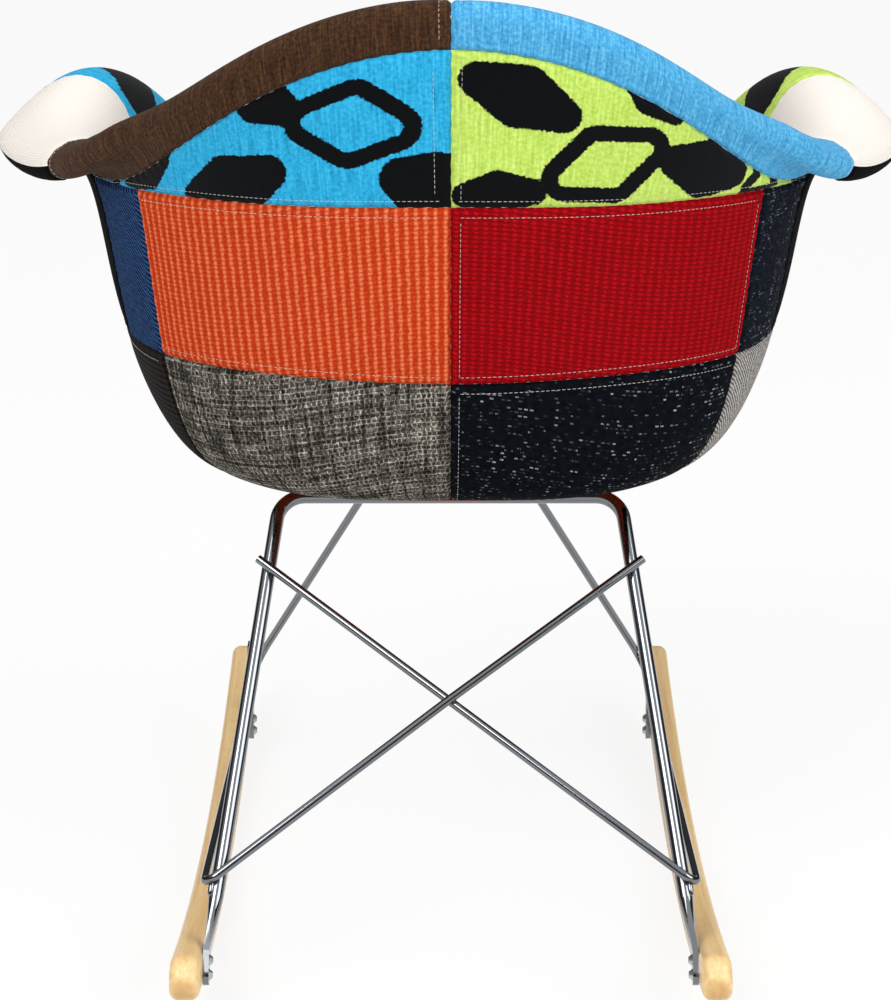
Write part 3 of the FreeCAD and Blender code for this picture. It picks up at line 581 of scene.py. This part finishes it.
# The print: rounded lozenges, solid or in outline, strewn over both panels from the middle seam outwards.
print_motifs("back_upper_left", "end", (
    (58, 62, 42, 30, 12, 11), (140, 28, 40, 24, -18, 0), (12, 14, 34, 26, 25, 0),
    (212, 38, 30, 17, -30, 0), (112, 88, 30, 18, 35, 0), (270, 22, 26, 14, 15, 9)))
print_motifs("back_upper_right", "start", (
    (40, 78, 38, 22, -20, 0), (95, 40, 44, 28, 30, 11), (30, 12, 30, 16, 8, 0),
    (165, 42, 36, 22, -12, 0), (225, 30, 28, 16, 20, 9), (120, 92, 28, 16, -35, 0),
    (276, 24, 22, 13, -10, 0)))
topstitch("back_upper_left", "end", 10)
topstitch("back_upper_left", "low", 5)
topstitch("back_upper_right", "start")
topstitch("back_upper_right", "low", 5)

# Middle back panels: heavy ladder weave, its cords standing up in columns crossed by short rungs.
# They are sewn to the panels above and below, to the flanks and to each other on the middle line.
# A wave texture at scale 1 repeats each 0.314 m.
WAVE = math.pi / 10
CORD_PITCH, RUNG_PITCH = 6.2, 3.2


def ladder_weave(name, gap, deep, ground, cord, edge, least):
    """Soft bright cords in columns on a deeper, speckled ground, with painted shade in the gaps between the
    rungs: gap is its colour.
    Edge is how high up its side a cord's colour starts, least how much of it is left between two rungs, over
    the painted shade."""
    finish, tree, shader, flat = new_cloth(name)
    columns = add_node(tree, "TexWave", {"Vector": flat, "Scale": WAVE / (CORD_PITCH * MM), "Distortion": 1.3,
                                         "Detail": 3, "Detail Scale": 4}, bands_direction="X").outputs[1]
    rows = add_node(tree, "TexWave", {"Vector": flat, "Scale": WAVE / (RUNG_PITCH * MM), "Distortion": 3.2,
                                      "Detail": 3, "Detail Scale": 4}, bands_direction="Y").outputs[1]
    fibre_size = 2 * MM
    fibres = add_node(tree, "TexNoise", {"Vector": flat, "Scale": 1 / fibre_size, "Detail": 3}).outputs[0]
    cords = add_node(tree, "MapRange", {0: columns, 1: edge, 2: 0.95}).outputs[0]
    rungs = add_node(tree, "MapRange", {0: rows, 1: 0.1, 2: 0.6}).outputs[0]
    dashes = add_node(tree, "MapRange", {0: rows, 1: 0.1, 2: 0.7, 3: least, 4: 1}).outputs[0]
    raised = add_node(tree, "Math", {0: cords, 1: dashes}, operation="MULTIPLY").outputs[0]
    speckle = add_node(tree, "ValToRGB", {0: fibres}, ((0.4, deep), (0.6, ground))).outputs[0]
    # Between the rungs the cloth takes the gap colour, which is painted shade in the dips of the weave.
    weft_with_gap_shade = add_node(tree, "Mix", {0: rungs, 6: linear(gap), 7: speckle}, data_type="RGBA").outputs[2]
    warp = add_node(tree, "Mix", {0: raised, 6: weft_with_gap_shade, 7: linear(cord)}, data_type="RGBA").outputs[2]
    height = add_node(tree, "Math", {0: rungs, 1: 0.25, 2: raised}, operation="MULTIPLY_ADD").outputs[0]
    show_weave(tree, shader, warp, height, 0.5)
    return finish


def cord_ribs(across, up):
    """Height in mm of the cords, in step with the columns of the weave."""
    return 0.5 * (0.5 - 0.5 * np.cos(across * 2 * math.pi / CORD_PITCH)) ** 2


# The first colour of each ladder weave is the painted shade in the gaps between its rungs.
orange_rib = ladder_weave("orange_rib", "#a8300f", "#a62f10", "#c3421f", "#e07349", 0.4, 0.45)
red_waffle = ladder_weave("red_waffle", "#74030a", "#7f040c", "#8d060f", "#aa0b13", 0.25, 0.15)
for name, *limits in both_sides(("back_middle", FLANK, BACK_MIDDLE, LOWER_SEAM, UPPER_SEAM, OUTER_FACE)):
    patch(name, *limits)
upholster(orange_rib, ["back_middle_left"], levels=2, ribs=cord_ribs)
upholster(red_waffle, ["back_middle_right"], levels=2, ribs=cord_ribs)
for side in ("low", "high"):
    topstitch("back_middle_left", side)
for side in ("low", "high", "start", "end"):
    topstitch("back_middle_right", side)

# Lower back panels: basket tweed on the left, dark tweed with white flecks on the right.
# They run from the lower seam down under the seat, where they meet the round panel below.
# Brick textures are counted in units of 10 mm.
BRICK = 10 * MM


def basket_tweed(name, thread, dark, light, cell):
    """A grid of pale threads over cells from dark to middling; fuzz, and thicker threads that lie both ways
    as paler and darker lines, break it up."""
    finish, tree, shader, flat = new_cloth(name)
    slub_size = 9 * MM
    slubs = add_node(tree, "TexNoise", {
        "Vector": flat, "Scale": 1 / slub_size, "Detail": 6, "Roughness": 0.7}).outputs["Color"]
    bent = add_node(tree, "VectorMath", {0: slubs, 1: (3.5 * MM, 3.5 * MM, 0), 2: flat},
                    operation="MULTIPLY_ADD").outputs[0]
    lattice = add_node(tree, "TexBrick", {
        "Vector": bent, "Color1": linear(dark), "Color2": linear(light), "Mortar": linear(thread),
        "Scale": 1 / BRICK, "Mortar Size": 0.06, "Mortar Smooth": 0.6, "Brick Width": cell * MM / BRICK,
        "Row Height": cell * MM / BRICK}, offset=0.25)
    colour = lattice.outputs[0]
    fuzz, width, length = 2 * MM, 4 * MM, 45 * MM
    for across, up, dim in ((fuzz, fuzz, "#606060"), (length, width, "#848484"), (width, length, "#848484")):
        at = add_node(tree, "Mapping", {0: bent, "Scale": (1 / across, 1 / up, 1)}).outputs[0]
        noise = add_node(tree, "TexNoise", {"Vector": at, "Scale": 1, "Detail": 3}).outputs[0]
        wear = add_node(tree, "ValToRGB", {0: noise}, ((0.35, dim), (0.62, "#ffffff"))).outputs[0]
        colour = add_node(tree, "Mix", {0: 1, 6: colour, 7: wear},
                          data_type="RGBA", blend_type="MULTIPLY").outputs[2]
    show_weave(tree, shader, colour, lattice.outputs[1], 0.3)
    return finish


def fleck_tweed(name, dark, ground, fleck, dash, row, gap, rarity):
    """A dark ground with short thin pale flecks, gathered in broken lines that run both ways."""
    finish, tree, shader, flat = new_cloth(name)
    ground_size = 5 * MM
    blotches = add_node(tree, "TexNoise", {"Vector": flat, "Scale": 1 / ground_size, "Detail": 4}).outputs[0]
    base = add_node(tree, "ValToRGB", {0: blotches}, ((0.35, dark), (0.65, ground))).outputs[0]
    dashes = add_node(tree, "TexBrick", {
        "Vector": flat, "Color1": linear("#000000"), "Color2": linear("#ffffff"),
        "Mortar": linear("#000000"), "Scale": 1 / BRICK, "Mortar Size": gap * MM / BRICK,
        "Mortar Smooth": 0.5, "Brick Width": dash * MM / BRICK, "Row Height": row * MM / BRICK},
        offset=0.37).outputs[0]
    picked = add_node(tree, "MapRange", {0: dashes, 1: rarity, 2: 1}).outputs[0]
    line_width, line_length = 4 * MM, 60 * MM
    lines = []
    for stretch in ((1 / line_length, 1 / line_width, 1), (1 / line_width, 1 / line_length, 1)):
        lines_at = add_node(tree, "Mapping", {0: flat, "Scale": stretch}).outputs[0]
        runs = add_node(tree, "TexNoise", {"Vector": lines_at, "Scale": 1, "Detail": 3}).outputs[0]
        lines.append(add_node(tree, "MapRange", {0: runs, 1: 0.54, 2: 0.68, 3: 0.04}).outputs[0])
    kept = add_node(tree, "Math", {0: lines[0], 1: lines[1]}, operation="MAXIMUM").outputs[0]
    flecks = add_node(tree, "Math", {0: picked, 1: kept}, operation="MULTIPLY").outputs[0]
    colour = add_node(tree, "Mix", {0: flecks, 6: base, 7: linear(fleck)}, data_type="RGBA").outputs[2]
    show_weave(tree, shader, colour, flecks, 0.3)
    return finish


grey_tweed = basket_tweed("grey_tweed", "#d9d3c6", "#5f5850", "#968d81", 3.7)
night_tweed = fleck_tweed("night_tweed", "#04060a", "#0a0f16", "#a9b0b3", 4.2, 2.8, 0.9, 0.6)
for name, *limits in both_sides(("back_lower", FLANK, BACK_MIDDLE, FLOOR_SEAM, LOWER_SEAM, OUTER_FACE)):
    patch(name, *limits)
upholster(grey_tweed, ["back_lower_left"])
upholster(night_tweed, ["back_lower_right"])
for side in ("high", "start"):
    topstitch("back_lower_right", side)

# Flanks: narrow upright panels between the middle back panels and the arms, twill on the left and
# flecked cloth on the right.


def twill(name, dark, middle, light, pitch):
    """Fine slanting ribs with lighter threads showing here and there."""
    finish, tree, shader, flat = new_cloth(name)
    # A slanting wave repeats each 0.444 m along its slant at scale 1.
    ribs = add_node(tree, "TexWave", {"Vector": flat, "Scale": 0.444 / (pitch * MM), "Distortion": 2,
                                      "Detail": 3, "Detail Scale": 2}, bands_direction="DIAGONAL").outputs[1]
    thread_width, thread_length = 1.5 * MM, 9 * MM
    along = add_node(tree, "Mapping", {0: flat, "Scale": (1 / thread_length, 1 / thread_width, 1)}).outputs[0]
    threads = add_node(tree, "TexNoise", {"Vector": along, "Scale": 1, "Detail": 3}).outputs[0]
    tone = add_node(tree, "Mix", {0: 0.55, 2: ribs, 3: threads}).outputs[0]
    colour = add_node(tree, "ValToRGB", {0: tone}, ((0.3, dark), (0.52, middle), (0.74, light))).outputs[0]
    show_weave(tree, shader, colour, ribs, 0.35)
    return finish


blue_denim = twill("blue_denim", "#0c1b36", "#162c4f", "#375580", 2.6)
navy_fleck = fleck_tweed("navy_fleck", "#0a0d14", "#121722", "#8d9299", 3.2, 2, 0.55, 0.55)
for name, *limits in both_sides(("flank", SHOULDER, FLANK, LOWER_SEAM, UPPER_SEAM, OUTER_FACE)):
    patch(name, *limits)
upholster(blue_denim, ["flank_left"])
upholster(navy_fleck, ["flank_right"])

# Lower sides: corduroy on the left with its ridges lying level, pale tweed on the right.
# They are sewn under the arms and the flanks, and run down under the seat.


def corduroy(name, groove_shade, ridge, pitch):
    """Round ridges along the cloth, with painted shade in the grooves between them."""
    finish, tree, shader, flat = new_cloth(name, sheen=0.03)
    ridges = add_node(tree, "TexWave", {"Vector": flat, "Scale": WAVE / (pitch * MM), "Distortion": 0.6,
                                        "Detail": 2, "Detail Scale": 1}, bands_direction="Y").outputs[1]
    # The groove colour is painted shade in the grooves; the ridge colour is the cloth's own.
    colour = add_node(tree, "ValToRGB", {0: ridges}, ((0.1, groove_shade), (0.7, ridge))).outputs[0]
    show_weave(tree, shader, colour, ridges, 0.8)
    return finish


# Its first colour is the painted shade in the grooves.
brown_cord = corduroy("brown_cord", "#080605", "#1c1411", 4.6)
pale_tweed = twill("pale_tweed", "#565350", "#888481", "#bab7b3", 2.2)
for name, *limits in both_sides(("side_lower", FRONT, FLANK, FLOOR_SEAM, LOWER_SEAM, OUTER_FACE)):
    patch(name, *limits)
upholster(brown_cord, ["side_lower_left"])
upholster(pale_tweed, ["side_lower_right"])
topstitch("side_lower_left", "high")

# Outside of the arms and front aprons: plain cloth, black under the arms.
# They are sewn to the flanks, the lower sides and the border strips above them.


def plain_weave(name, dark, light, hem=0):
    """Even cloth with a fine grid of threads; a hem blackens so many mm along its lower edge."""
    finish, tree, shader, flat = new_cloth(name)
    # The threads are about 0.8 mm; they are drawn at 2 mm, so that they show from a distance.
    pitch = 2 * MM
    across = add_node(tree, "TexWave", {"Vector": flat, "Scale": WAVE / pitch, "Distortion": 1.5},
                      bands_direction="X").outputs[1]
    along = add_node(tree, "TexWave", {"Vector": flat, "Scale": WAVE / pitch, "Distortion": 1.5},
                     bands_direction="Y").outputs[1]
    grid = add_node(tree, "Math", {0: across, 1: along}, operation="MULTIPLY").outputs[0]
    colour = add_node(tree, "ValToRGB", {0: grid}, ((0, dark), (0.6, light))).outputs[0]
    if hem:
        from_edge = add_node(tree, "SeparateXYZ", {0: flat}).outputs[1]
        hemmed = add_node(tree, "Math", {0: from_edge, 1: hem * MM}, operation="LESS_THAN").outputs[0]
        colour = add_node(tree, "Mix", {0: hemmed, 6: colour, 7: linear("#0a0a0a")},
                          data_type="RGBA").outputs[2]
    show_weave(tree, shader, colour, grid, 0.15)
    return finish


black_weave = plain_weave("black_weave", "#040404", "#0d0c0d")
rust_weave = plain_weave("rust_weave", "#7a2a12", "#a8401c")
for name, *limits in (both_sides(("arm_outer", FRONT, SHOULDER, LOWER_SEAM, ARM_LIP, OUTER_FACE))
                      + both_sides(("front_apron", FRONT_MIDDLE, FRONT, FLOOR_SEAM, BORDER, OUTER_FACE))):
    patch(name, *limits)
upholster(black_weave, ["arm_outer_left", "arm_outer_right"])
upholster(rust_weave, ["front_apron_left"])
upholster(blue_denim, ["front_apron_right"])

# Border strips: folded over the rim of the shell and its foam, and sewn to the outer and the inner cover.
# The strips on the arms are wider and off-white, and end towards the front in a seam with a printed tip.
RIM_BULGE = 8
TURN_STEPS = 16


def border(name, start, end, outside_width, inside_width):
    """Lays out a strip: a leg outside, a round turn past the rim, and a leg inside."""
    first, last = math.radians(start), math.radians(end)
    middle_depth, half = (INNER_FACE + OUTER_FACE) / 2, (INNER_FACE - OUTER_FACE) / 2
    rim_radius = 288
    across = spread((last - first) * rim_radius)
    lines = []
    for angle in np.interp(across, (0, across[-1]), (first, last)):
        shares, lengths = section_lengths(angle)
        legs = []
        for width, depth in ((outside_width, OUTER_FACE), (inside_width, INNER_FACE)):
            runs = np.linspace(lengths[-1] - width, lengths[-1], round(width / 3))
            legs.append(layer(np.full(len(runs), angle), np.interp(runs, lengths, shares), depth))
        rim, below = shell_points([angle, angle], [1, 0.999])
        rise = (rim - below) / np.linalg.norm(rim - below)
        outward = (legs[0][-1] - legs[1][-1]) / np.linalg.norm(legs[0][-1] - legs[1][-1])
        turn = [rim - outward * (middle_depth - half * math.cos(step)) + rise * RIM_BULGE * math.sin(step)
                for step in np.linspace(0, math.pi, TURN_STEPS)[1:-1]]
        lines.append(np.concatenate((legs[0], turn, legs[1][::-1])))
    runs = [run_lengths(line) for line in lines]
    up = spread(runs[len(runs) // 2][-1])
    points, places = [], []
    for line, run, beside in zip(lines, runs, across):
        rises = up * run[-1] / up[-1]
        points.append(np.stack([np.interp(rises, run, line[:, axis]) for axis in range(3)], axis=1))
        places.append(np.stack((np.full(len(up), beside), rises), axis=1))
    patterns[name] = np.array(points), np.array(places)


brown_chenille = chenille("brown_chenille", "#22150d", "#3c2719", "#563a23")
sky_chenille = chenille("sky_chenille", "#2b7cb2", "#479ac8", "#6bb6da")
cream_weave = plain_weave("cream_weave", "#dcd5cd", "#ece7e0", hem=28)
for name, *limits in (both_sides(("border_back", SHOULDER, BACK_MIDDLE, BORDER, BORDER))
                      + both_sides(("border_arm", ARM_SEAM, SHOULDER, ARM_LIP, ARM_BORDER))
                      + both_sides(("border_arm_tip", FRONT, ARM_SEAM, ARM_LIP, BORDER))
                      + both_sides(("border_front", FRONT_MIDDLE, FRONT, BORDER, BORDER))):
    border(name, *limits)
upholster(brown_chenille, ["border_back_left"], levels=2)
upholster(sky_chenille, ["border_back_right"], levels=2)
upholster(cream_weave, ["border_arm_left", "border_arm_right"])
upholster(cyan_print, ["border_arm_tip_left"], levels=2)
upholster(lime_print, ["border_arm_tip_right"], levels=2)
print_motifs("border_arm_tip_left", "end", ((36, 34, 24, 11, -8, 0), (104, 26, 26, 14, 10, 8)))
print_motifs("border_arm_tip_right", "start", ((30, 24, 22, 10, 12, 0), (96, 34, 28, 13, -6, 0)))
upholster(orange_rib, ["border_front_left"])
upholster(grey_tweed, ["border_front_right"])
topstitch("border_back_left", "end", 7.4)
topstitch("border_back_left", "start")
topstitch("border_back_right", "end")

# Inner cover: patches of the same cloths over the foam that is bonded to the inside of the shell.
# They are sewn to each other, to the border strips above and to the round seat panel below.
for name, *limits in (both_sides(("inner_back", SHOULDER, BACK_MIDDLE, LOWER_SEAM, BORDER, INNER_FACE))
                      + both_sides(("inner_arm", ARM_SEAM, SHOULDER, LOWER_SEAM, ARM_BORDER, INNER_FACE))
                      + both_sides(("inner_arm_tip", FRONT, ARM_SEAM, LOWER_SEAM, BORDER, INNER_FACE))
                      + both_sides(("inner_seat", FRONT, BACK_MIDDLE, FLOOR_SEAM, LOWER_SEAM, INNER_FACE))
                      + both_sides(("inner_front", FRONT_MIDDLE, FRONT, FLOOR_SEAM, BORDER, INNER_FACE))):
    patch(name, *limits)
upholster(night_tweed, ["inner_back_left"])
upholster(orange_rib, ["inner_back_right"])
upholster(cyan_print, ["inner_arm_left", "inner_arm_tip_left"], levels=2)
upholster(lime_print, ["inner_arm_right", "inner_arm_tip_right"], levels=2)
arm_print = ((40, 30, 30, 18, 20, 0), (110, 50, 30, 18, -25, 9))
tip_print = ((36, 148, 30, 17, 24, 0), (92, 120, 28, 16, -30, 9), (28, 70, 26, 16, -12, 0),
             (100, 40, 28, 16, 20, 0))
for side, edge in (("left", "start"), ("right", "end")):
    print_motifs("inner_arm_" + side, edge, arm_print)
    print_motifs("inner_arm_tip_" + side, edge, tip_print)
upholster(red_waffle, ["inner_seat_left"])
upholster(pale_tweed, ["inner_seat_right"])
upholster(brown_cord, ["inner_front_left"])
upholster(sky_chenille, ["inner_front_right"])
# The foam is wholly covered, so the covers stand for it too.
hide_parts("seat_foam")

# Round panels: grey tweed on the seat over the foam, and rust cloth under the shell, cut out for the
# rubber pads. Both are sewn to the patches round them.
BOLTS = ((42, 69), (52, -93))
PAD_HOLE_RADIUS = 12.4


def round_panel(name, depth, crown):
    """A disc over the flat floor and up to the seam round it."""
    columns, rows = 96, 40
    floor_rows = 30
    shape = bmesh.new()
    bmesh.ops.create_grid(shape, x_segments=columns, y_segments=rows, size=1)
    flat = shape.loops.layers.uv.new("flat")
    for vert in shape.verts:
        angle = (vert.co.x + 1) * math.pi * (1 if depth < 0 else -1)
        row = round((vert.co.y + 1) / 2 * rows)
        up = max(0, row - floor_rows) / (rows - floor_rows) * FLOOR_SEAM
        place = layer(np.array((angle,)), np.array((up + 1e-3,)), depth)[0]
        if row < floor_rows:
            middle = np.array((0, SEAT_AXIS_Y + FLOOR_OFFSET, place[2]))
            place = middle + (place - middle) * row / floor_rows
        place[2] += crown * (1 - (row / rows) ** 4)
        vert.co = place * MM
    bmesh.ops.remove_doubles(shape, verts=shape.verts, dist=0.01 * MM)
    for face in shape.faces:
        face.smooth = True
        for loop in face.loops:
            loop[flat].uv = loop.vert.co.xy
    piece = new_piece(name + "_cover", shape)
    thicken(piece)
    return piece


def cut_pad_holes(piece):
    cut_depth = 20 * MM
    shape = bmesh.new()
    for x, y in BOLTS:
        for side in (1, -1):
            at = Matrix.Translation(Vector((side * x, y, FLOOR_HEIGHT)) * MM)
            bmesh.ops.create_cone(shape, cap_ends=True, segments=32, radius1=PAD_HOLE_RADIUS * MM,
                                  radius2=PAD_HOLE_RADIUS * MM, depth=cut_depth, matrix=at)
    cutter = new_piece("pad_holes", shape)
    holes = piece.modifiers.new("holes", "BOOLEAN")
    holes.object = cutter
    settle(piece)
    bpy.data.objects.remove(cutter)


seat_panel = round_panel("seat_panel", INNER_FACE, 4)
seat_panel.data.materials.append(grey_tweed)
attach(seat_panel, "root")
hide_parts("seat_panel")
underside_panel = round_panel("underside_panel", OUTER_FACE, 0)
cut_pad_holes(underside_panel)
underside_panel.data.materials.append(rust_weave)
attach(underside_panel, "root")
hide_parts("underside_panel")

# Topstitching: off-white linen thread along the seams.
# Its short stitches are sunk a little into the cloth.


def linen_thread():
    """Dull off-white with a slight twist."""
    finish, tree, shader = new_finish("linen_thread", Roughness=0.7, Specular_IOR_Level=0.2)
    place = add_node(tree, "TexCoord").outputs["Object"]
    ply_size = 1.2 * MM
    plies = add_node(tree, "TexNoise", {"Vector": place, "Scale": 1 / ply_size}).outputs[0]
    tone = add_node(tree, "ValToRGB", {0: plies}, ((0.3, "#aea49c"), (0.7, "#d3cac2"))).outputs[0]
    tree.links.new(tone, shader.inputs["Base Color"])
    return finish


for face in stitching.faces:
    face.smooth = True
topstitching = new_piece("topstitching", stitching)
topstitching.data.materials.append(linen_thread())
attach(topstitching, "root")

# Studio: a pale floor that runs out to white, a surround that is bright overhead and dim at eye level,
# and two large soft lamps.


def studio_floor():
    """Pale and matt; seen by the camera it is nearly white, and keeps the chair's shadow faintly."""
    finish, tree, shader = new_finish("pale_floor", Base_Color=linear("#f2f2f1"), Roughness=0.9)
    path = add_node(tree, "LightPath").outputs
    mirrored = add_node(tree, "Math", {0: path["Is Glossy Ray"], 1: path["Is Transmission Ray"]},
                        operation="MAXIMUM").outputs[0]
    seen = add_node(tree, "Math", {0: path["Is Camera Ray"], 1: mirrored}, operation="MAXIMUM").outputs[0]
    lifted = add_node(tree, "Math", {0: seen, 1: 0.86}, operation="MULTIPLY").outputs[0]
    white = add_node(tree, "Emission", {"Color": linear("#ffffff"), "Strength": 1}).outputs[0]
    mixed = add_node(tree, "MixShader", {0: lifted, 1: shader.outputs[0], 2: white}).outputs[0]
    tree.links.new(mixed, tree.nodes["Material Output"].inputs["Surface"])
    return finish


FLOOR_HALF = 150
floor_shape = bmesh.new()
bmesh.ops.create_grid(floor_shape, x_segments=1, y_segments=1, size=FLOOR_HALF)
floor = new_piece("floor", floor_shape)
floor.data.materials.append(studio_floor())

world = bpy.data.worlds.new("studio")
world.use_nodes = True
sky = world.node_tree
way_up = add_node(sky, "SeparateXYZ", {0: add_node(sky, "TexCoord").outputs["Generated"]}).outputs[2]
surround = add_node(sky, "ValToRGB", {0: way_up}, (
    (0.05, "#383838"), (0.45, "#5a5a5a"), (0.8, "#ffffff"))).outputs[0]
sky.links.new(surround, sky.nodes["Background"].inputs["Color"])
bpy.context.scene.world = world

LAMPS = (("key", (1.6, 2.6, 3.0), 2.4, 105), ("fill", (-2.4, 1.6, 2.0), 2.4, 62))
for name, spot, width, power in LAMPS:
    lamp = bpy.data.lights.new(name, "AREA")
    lamp.shape = "DISK"
    lamp.size = width
    lamp.energy = power
    light = bpy.data.objects.new(name, lamp)
    light.location = spot
    light.rotation_euler = (Vector((0, 0, 0.4)) - Vector(spot)).to_track_quat("-Z", "Y").to_euler()
    bpy.context.collection.objects.link(light)

camera = bpy.data.objects.new("camera", bpy.data.cameras.new("camera"))
camera.data.lens = 116.8
camera.data.sensor_width = 36
camera.location = (0.0035, 2.298, 0.917)
camera.rotation_euler = (math.radians(90 - 15.5), 0, math.radians(180))
bpy.context.collection.objects.link(camera)
bpy.context.scene.camera = camera
bpy.context.scene.view_settings.view_transform = "Standard"
